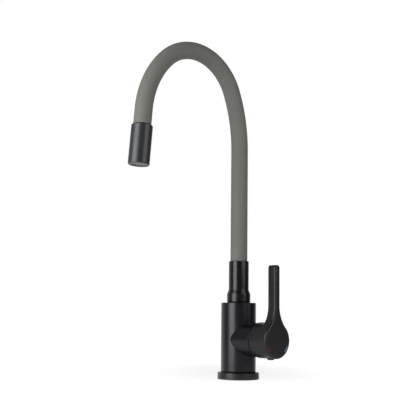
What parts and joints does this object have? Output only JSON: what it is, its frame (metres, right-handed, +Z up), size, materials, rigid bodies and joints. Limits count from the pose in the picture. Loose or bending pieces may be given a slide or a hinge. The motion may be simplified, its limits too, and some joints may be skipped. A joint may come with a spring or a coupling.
{
  "type": "flexible spout kitchen tap",
  "caption": "Deck-mounted kitchen tap with a side lever mixer, a round body and a flexible silicone-sleeved spout that swivels and bends, ending in an aerator nozzle.",
  "frame": {"origin": "centre of the base flange on the deck, on the body axis", "axes": "+Z up the body and spout, +X along the cartridge towards the handle's face, the spout reaches towards -Y"},
  "size_m": [0.0899, 0.1955, 0.3993],
  "materials": {
    "black_body": "satin black coating on cast brass",
    "black_handle": "satin black coating on die-cast metal",
    "black_trim": "smoother satin black coating on turned metal",
    "grey_silicone": "matt silicone",
    "conduit_steel": "wound steel strip",
    "water_hose": "drinking-water tube",
    "valve_plastic": "moulded valve plastic",
    "ceramic": "lapped ceramic",
    "brass": "turned brass",
    "seal_rubber": "moulded seal rubber",
    "screw_steel": "hardened screw steel",
    "black_plastic": "moulded black plastic",
    "hot_red": "printed mark",
    "cold_blue": "printed mark",
    "aerator_grey": "moulded grey plastic"
  },
  "bodies": {
    "base": {"base_flange": "black_body", "base_gasket": "seal_rubber", "body_casting": "black_body", "joint_ring": "seal_rubber", "spout_retaining_screw": "screw_steel", "cartridge_base": "valve_plastic", "cartridge_seals": "seal_rubber", "fixed_ceramic_disc": "ceramic", "cartridge_housing": "valve_plastic", "cartridge_nut": "brass", "cartridge_cap": "black_plastic", "slip_washer": "black_plastic"},
    "rotor": {"cartridge_rotor": "valve_plastic", "stem_pin": "screw_steel"},
    "valve_disc": {"moving_ceramic_disc": "ceramic", "disc_carrier": "valve_plastic"},
    "handle": {"handle_lever": "black_handle", "cartridge_stem": "brass", "handle_grub_screw": "screw_steel", "screw_plug": "black_plastic", "hot_mark": "hot_red", "cold_mark": "cold_blue"},
    "spout_base": {"spout_collar": "black_trim", "spout_o_rings": "seal_rubber", "hose_tail": "brass", "sleeve_section_1": "grey_silicone", "gooseneck_section_1": "conduit_steel", "water_hose_section_1": "water_hose"},
    "spout_2": {"sleeve_section_2": "grey_silicone", "gooseneck_section_2": "conduit_steel", "water_hose_section_2": "water_hose"},
    "spout_3": {"sleeve_section_3": "grey_silicone", "gooseneck_section_3": "conduit_steel", "water_hose_section_3": "water_hose"},
    "spout_4": {"sleeve_section_4": "grey_silicone", "gooseneck_section_4": "conduit_steel", "water_hose_section_4": "water_hose"},
    "spout_5": {"sleeve_section_5": "grey_silicone", "gooseneck_section_5": "conduit_steel", "water_hose_section_5": "water_hose"},
    "nozzle": {"sleeve_section_6": "grey_silicone", "gooseneck_section_6": "conduit_steel", "water_hose_section_6": "water_hose", "nozzle_shell": "black_trim", "hose_end_fitting": "brass", "aerator_gasket": "seal_rubber", "aerator_housing": "aerator_grey", "aerator_insert": "aerator_grey"}
  },
  "joints": [
    {"name": "temperature_turn", "type": "hinge", "parent": "base", "child": "rotor", "pos_m": [0.0299, 0, 0.0473], "axis": [1, 0, 0], "range_deg": [-50, 50]},
    {"name": "flow_tilt", "type": "hinge", "parent": "rotor", "child": "handle", "pos_m": [0.0299, 0, 0.0473], "axis": [0, 1, 0], "range_deg": [0, 25]},
    {"name": "disc_slide", "type": "slide", "parent": "rotor", "child": "valve_disc", "axis": [0, 0, 1], "range_m": [0, 0.0041]},
    {"name": "spout_swivel", "type": "hinge", "parent": "base", "child": "spout_base", "pos_m": [0, 0, 0.0813], "axis": [0, 0, 1], "continuous": true},
    {"name": "spout_bend_1", "type": "hinge", "parent": "spout_base", "child": "spout_2", "pos_m": [0, 0, 0.21277], "axis": [1, 0, 0], "range_deg": [-30, 20], "deforming": ["sleeve_section_1", "gooseneck_section_1", "water_hose_section_1", "sleeve_section_2", "gooseneck_section_2", "water_hose_section_2"]},
    {"name": "spout_sway_1", "type": "hinge", "parent": "spout_2", "child": "spout_3", "pos_m": [0, -0.00012, 0.28433], "axis": [0, 0.9993, 0.0361], "range_deg": [-30, 30], "deforming": ["sleeve_section_2", "gooseneck_section_2", "water_hose_section_2", "sleeve_section_3", "gooseneck_section_3", "water_hose_section_3"]},
    {"name": "spout_bend_2", "type": "hinge", "parent": "spout_3", "child": "spout_4", "pos_m": [0, -0.01652, 0.3535], "axis": [1, 0, 0], "range_deg": [-30, 20], "deforming": ["sleeve_section_3", "gooseneck_section_3", "water_hose_section_3", "sleeve_section_4", "gooseneck_section_4", "water_hose_section_4"]},
    {"name": "spout_sway_2", "type": "hinge", "parent": "spout_4", "child": "spout_5", "pos_m": [0, -0.07466, 0.38904], "axis": [0, 0.009, 1], "range_deg": [-30, 30], "deforming": ["sleeve_section_4", "gooseneck_section_4", "water_hose_section_4", "sleeve_section_5", "gooseneck_section_5", "water_hose_section_5"]},
    {"name": "spout_bend_3", "type": "hinge", "parent": "spout_5", "child": "nozzle", "pos_m": [0, -0.13443, 0.3553], "axis": [1, 0, 0], "range_deg": [-30, 20], "deforming": ["sleeve_section_5", "gooseneck_section_5", "water_hose_section_5", "sleeve_section_6", "gooseneck_section_6", "water_hose_section_6"]}
  ],
  "couplings": [
    {"joint": "disc_slide", "follows": "flow_tilt", "m_per_rad": 0.0093}
  ]
}
